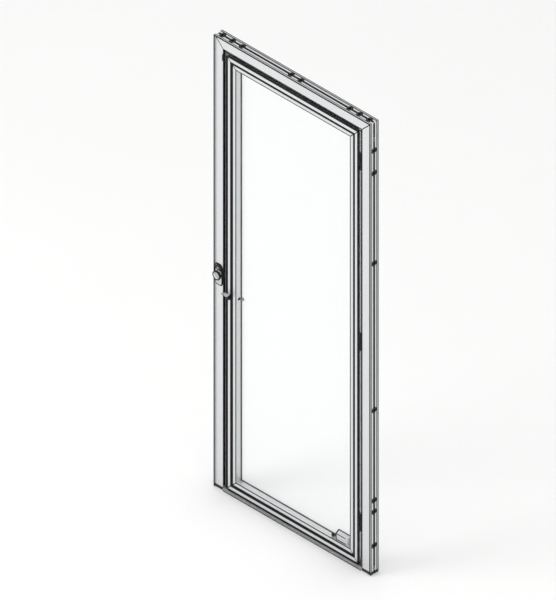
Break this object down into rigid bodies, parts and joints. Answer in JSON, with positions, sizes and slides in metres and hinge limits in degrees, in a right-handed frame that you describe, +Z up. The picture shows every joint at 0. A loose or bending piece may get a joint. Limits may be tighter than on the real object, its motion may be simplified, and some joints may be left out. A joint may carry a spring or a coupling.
{
  "type": "framed glass door",
  "caption": "Aluminium-framed glass door hung in its own mitred frame with sill, for partition walls; knob-driven bolt lock, hinges, pulls and connector holes.",
  "frame": {"origin": "centre of the sill's underside, on the floor and in the middle of the frame's depth", "axes": "+X along the width towards the hinge side, +Y from front to back, +Z up"},
  "size_m": [0.992, 0.088, 2.48],
  "materials": {
    "anodised": "satin natural anodised",
    "corner_alloy": "bare mill alloy",
    "steel": "brushed stainless",
    "black_steel": "black powder coat",
    "brass": "machined",
    "rubber": "matt black",
    "brush": "black pile",
    "black_plastic": "fine grained",
    "pale_plastic": "fine grained",
    "glass": "clear toughened"
  },
  "bodies": {
    "frame": {"left_jamb": "anodised", "right_jamb": "anodised", "head_rail": "anodised", "sill": "anodised", "left_stop": "anodised", "right_stop": "anodised", "head_stop": "anodised", "frame_corner_keys": "corner_alloy", "hinge_pins": "steel", "lock_plate": "steel", "lock_case": "steel", "lock_cover": "steel", "lower_hinge_block": "black_steel", "middle_hinge_block": "black_steel", "upper_hinge_block": "black_steel", "key_cylinder": "brass", "side_stop_seals": "rubber", "head_stop_seal": "rubber", "side_frame_gaskets": "rubber", "head_frame_gasket": "rubber", "left_foot": "black_plastic", "right_foot": "black_plastic", "left_stop_shoe": "black_plastic", "right_stop_shoe": "black_plastic", "catch_clip": "black_plastic", "key_guard": "black_plastic", "left_ferrules": "black_plastic", "right_ferrules": "black_plastic", "head_ferrules": "black_plastic"},
    "leaf": {"left_stile": "anodised", "right_stile": "anodised", "top_rail": "anodised", "bottom_rail": "anodised", "left_bead": "anodised", "right_bead": "anodised", "top_bead": "anodised", "bottom_bead": "anodised", "side_edge_gaskets": "rubber", "top_edge_gasket": "rubber", "leaf_corner_keys": "corner_alloy", "groove_gasket": "rubber", "glass_gaskets": "rubber", "glass_pane": "glass", "setting_blocks": "rubber", "bottom_brush": "brush", "lower_hinge_plate": "black_steel", "middle_hinge_plate": "black_steel", "upper_hinge_plate": "black_steel", "strike_plate": "steel", "front_pull": "black_plastic", "rear_knob": "black_plastic", "screw_cap": "black_plastic", "adjuster_housing": "pale_plastic"},
    "knob": {"lock_knob": "steel", "lock_spindle": "steel"},
    "bolt": {"lock_bolt": "steel"},
    "key": {"key_plug": "steel"},
    "adjuster": {"adjuster_knob": "black_plastic"}
  },
  "joints": [
    {"name": "leaf_swing", "type": "hinge", "parent": "frame", "child": "leaf", "pos_m": [0.419, -0.0055, 1.24], "axis": [0, 0, 1], "range_deg": [0, 95]},
    {"name": "knob_turn", "type": "hinge", "parent": "frame", "child": "knob", "pos_m": [-0.468, -0.03, 1.175], "axis": [0, 1, 0], "range_deg": [0, 90]},
    {"name": "bolt_slide", "type": "slide", "parent": "frame", "child": "bolt", "axis": [1, 0, 0], "range_m": [0, 0.0142]},
    {"name": "key_turn", "type": "hinge", "parent": "frame", "child": "key", "pos_m": [-0.468, -0.02, 1.212], "axis": [0, 1, 0], "range_deg": [0, 90]},
    {"name": "adjuster_turn", "type": "hinge", "parent": "leaf", "child": "adjuster", "pos_m": [0.24, -0.003, 0.089], "axis": [1, 0, 0], "range_deg": [-180, 180]}
  ],
  "couplings": [
    {"joint": "bolt_slide", "follows": "knob_turn", "m_per_rad": 0.009}
  ]
}
